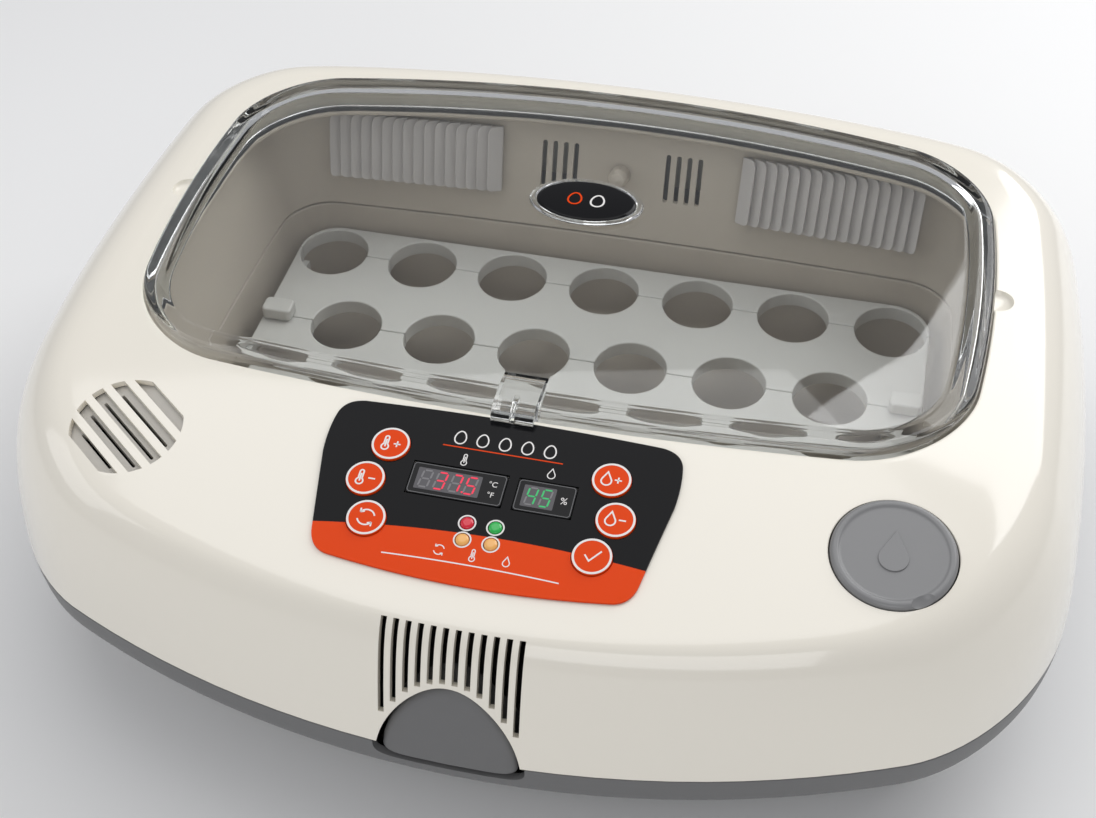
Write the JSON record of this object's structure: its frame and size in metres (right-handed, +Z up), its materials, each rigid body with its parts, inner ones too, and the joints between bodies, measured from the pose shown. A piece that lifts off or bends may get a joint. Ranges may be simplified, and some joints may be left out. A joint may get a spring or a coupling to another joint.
{
  "type": "egg incubator",
  "caption": "Table-top egg incubator: bowl base with rocking egg tray, lift-off lid with control panel, water filler, vents and clear window.",
  "frame": {"origin": "centre of the footprint, on the floor under the feet", "axes": "+X to the right, +Y to the back, +Z up; the control panel faces -Y"},
  "size_m": [0.4616, 0.366, 0.1516],
  "materials": {
    "base_grey": "satin",
    "liner_grey": "satin",
    "rubber": "matt",
    "motor_steel": "satin",
    "nylon": "satin",
    "pad_felt": "felt",
    "black_plastic": "satin",
    "tray_grey": "satin",
    "cream_shell": "gloss",
    "louvre_grey": "satin",
    "tank_clear": "gloss",
    "cap_grey": "satin",
    "panel_black": "gloss",
    "display_glass": "gloss",
    "key_orange": "gloss",
    "lamp_red": "gloss",
    "lamp_green": "gloss",
    "lamp_amber": "gloss",
    "board_green": "satin",
    "window_clear": "clear"
  },
  "bodies": {
    "base": {"base_shell": "base_grey", "chamber_pan": "liner_grey", "foot_front_left": "rubber", "foot_front_right": "rubber", "foot_back_left": "rubber", "foot_back_right": "rubber", "tray_fork_left": "liner_grey", "tray_fork_right": "liner_grey", "turner_motor": "motor_steel", "evaporation_pad": "pad_felt", "base_connector": "black_plastic"},
    "catch": {"front_catch": "base_grey"},
    "tray": {"tray_bar_front": "tray_grey", "tray_bar_mid_front": "tray_grey", "tray_bar_mid_back": "tray_grey", "tray_bar_back": "tray_grey", "tray_end_left": "tray_grey", "tray_end_right": "tray_grey", "tray_lug_left": "tray_grey", "tray_lug_right": "tray_grey", "sector_gear": "nylon"},
    "pinion": {"drive_pinion": "nylon"},
    "lid": {"lid_shell": "cream_shell", "lid_liner": "liner_grey", "louvre_left": "louvre_grey", "louvre_right": "louvre_grey", "fan_frame": "black_plastic", "heater_left": "motor_steel", "heater_right": "motor_steel", "sensor_probe": "rubber", "power_inlet": "black_plastic", "lid_connector": "black_plastic", "water_tank": "tank_clear", "humidity_pump": "black_plastic", "water_hose": "tank_clear", "vent_duct": "louvre_grey", "control_panel": "panel_black", "temperature_lens": "display_glass", "humidity_lens": "display_glass", "lamp_heating": "lamp_red", "lamp_humidifying": "lamp_green", "lamp_turning": "lamp_amber", "lamp_water_empty": "lamp_amber", "display_module": "black_plastic", "control_board": "board_green"},
    "fan": {"fan_rotor": "black_plastic"},
    "damper": {"vent_damper": "louvre_grey"},
    "cap": {"water_cap": "cap_grey", "cap_seal": "rubber"},
    "window": {"window_pane": "window_clear", "window_seal": "rubber", "window_badge": "panel_black"},
    "latch": {"window_latch": "window_clear"},
    "key_warmer_button": {"key_warmer": "key_orange"},
    "key_cooler_button": {"key_cooler": "key_orange"},
    "key_turn_button": {"key_turn": "key_orange"},
    "key_damper_button": {"key_damper": "key_orange"},
    "key_drier_button": {"key_drier": "key_orange"},
    "key_set_button": {"key_set": "key_orange"}
  },
  "joints": [
    {"name": "lid_lift", "type": "slide", "parent": "base", "child": "lid", "axis": [0, 0, 1], "range_m": [0, 0.2]},
    {"name": "catch_press", "type": "slide", "parent": "base", "child": "catch", "axis": [0, 1, 0], "range_m": [0, 0.0025], "stiffness_N_per_m": 900},
    {"name": "tray_rock", "type": "hinge", "parent": "base", "child": "tray", "pos_m": [0, 0.0535, 0.046], "axis": [1, 0, 0], "range_deg": [-15, 15]},
    {"name": "pinion_spin", "type": "hinge", "parent": "base", "child": "pinion", "pos_m": [0.156, 0.02878, 0.03286], "axis": [1, 0, 0], "range_deg": [-46, 46]},
    {"name": "fan_spin", "type": "hinge", "parent": "lid", "child": "fan", "pos_m": [0, 0.14761, 0.09967], "axis": [0, -0.9435, 0.3315], "continuous": true},
    {"name": "damper_turn", "type": "hinge", "parent": "lid", "child": "damper", "pos_m": [-0.1517, -0.103, 0.13953], "axis": [0, -0.1455, 0.9894], "range_deg": [-24, 24]},
    {"name": "cap_lift", "type": "slide", "parent": "lid", "child": "cap", "axis": [0, -0.1455, 0.9894], "range_m": [0, 0.04]},
    {"name": "window_lift", "type": "slide", "parent": "lid", "child": "window", "axis": [0, 0, 1], "range_m": [0, 0.08]},
    {"name": "latch_flip", "type": "hinge", "parent": "window", "child": "latch", "pos_m": [0, -0.0535, 0.1465], "axis": [-1, 0, 0], "range_deg": [0, 20]},
    {"name": "key_warmer_press", "type": "slide", "parent": "lid", "child": "key_warmer_button", "axis": [0, 0.1308, -0.9914], "range_m": [0, 0.0008], "stiffness_N_per_m": 700},
    {"name": "key_cooler_press", "type": "slide", "parent": "lid", "child": "key_cooler_button", "axis": [0, 0.1549, -0.9879], "range_m": [0, 0.0008], "stiffness_N_per_m": 700},
    {"name": "key_turn_press", "type": "slide", "parent": "lid", "child": "key_turn_button", "axis": [0, 0.1783, -0.984], "range_m": [0, 0.0008], "stiffness_N_per_m": 700},
    {"name": "key_damper_press", "type": "slide", "parent": "lid", "child": "key_damper_button", "axis": [0, 0.1308, -0.9914], "range_m": [0, 0.0008], "stiffness_N_per_m": 700},
    {"name": "key_drier_press", "type": "slide", "parent": "lid", "child": "key_drier_button", "axis": [0, 0.1549, -0.9879], "range_m": [0, 0.0008], "stiffness_N_per_m": 700},
    {"name": "key_set_press", "type": "slide", "parent": "lid", "child": "key_set_button", "axis": [0, 0.1783, -0.984], "range_m": [0, 0.0008], "stiffness_N_per_m": 700}
  ],
  "couplings": [
    {"joint": "pinion_spin", "follows": "tray_rock", "ratio": -3}
  ]
}
